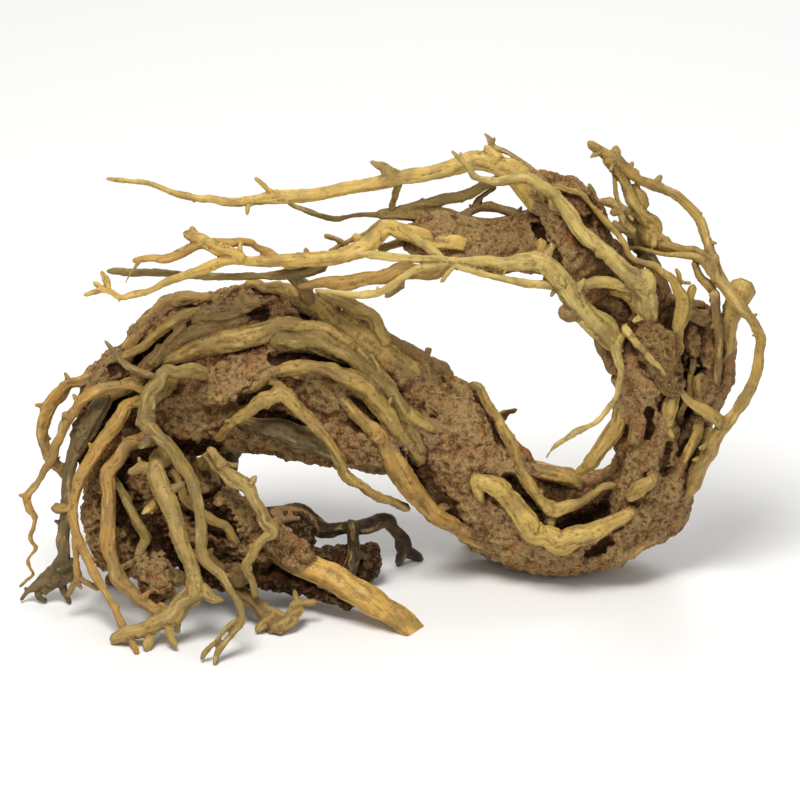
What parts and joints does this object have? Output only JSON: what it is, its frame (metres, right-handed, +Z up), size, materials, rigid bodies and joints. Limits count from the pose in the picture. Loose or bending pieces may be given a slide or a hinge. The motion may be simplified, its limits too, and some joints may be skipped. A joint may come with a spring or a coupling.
{
  "type": "dry root",
  "caption": "Gnarled dry root curled into an S, with a hollow loop, long thin side roots and splayed root toes it stands on.",
  "frame": {"origin": "middle of the bottom of the bounding box, on the surface the root stands on", "axes": "+X to the right along the longest extent, +Y away from the front, through its depth, +Z up"},
  "size_m": [0.4514, 0.185, 0.2797],
  "materials": {
    "weathered_wood": "dry, matte, bare pale wood with crusted grey-brown bark"
  },
  "bodies": {
    "root": {"dry_root": "weathered_wood"}
  },
  "joints": []
}
